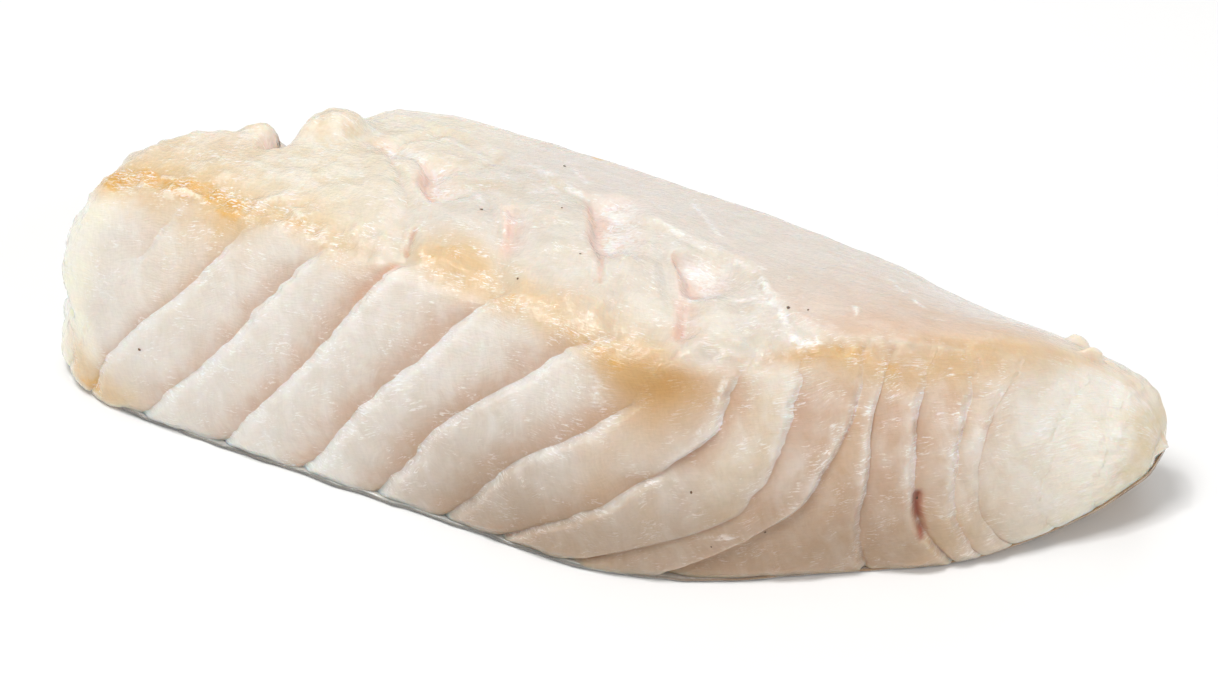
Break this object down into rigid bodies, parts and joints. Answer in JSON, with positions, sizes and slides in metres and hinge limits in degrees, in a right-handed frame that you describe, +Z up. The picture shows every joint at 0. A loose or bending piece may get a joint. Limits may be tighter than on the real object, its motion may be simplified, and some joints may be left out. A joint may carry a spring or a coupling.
{
  "type": "cooked sea bass fillet",
  "caption": "Cooked sea bass fillet lying skin side down: a thick pale loin of slanting flakes with one steep side, cut across at one end and tapering to a blunt tip.",
  "frame": {"origin": "centre of the bounding box's base, on the plane the skin rests on", "axes": "+X along the fillet from the thick cut end to the tip, -Y out of the steep flaked side, +Z up"},
  "size_m": [0.1594, 0.0672, 0.0342],
  "materials": {
    "flesh": "moist cooked white fish, ivory with peach in the grooves and golden-tan browning along the ridge",
    "skin": "thin wet fish skin, silvery grey going to brown at the tip"
  },
  "bodies": {
    "root": {"flesh": "flesh", "skin": "skin"}
  },
  "joints": []
}
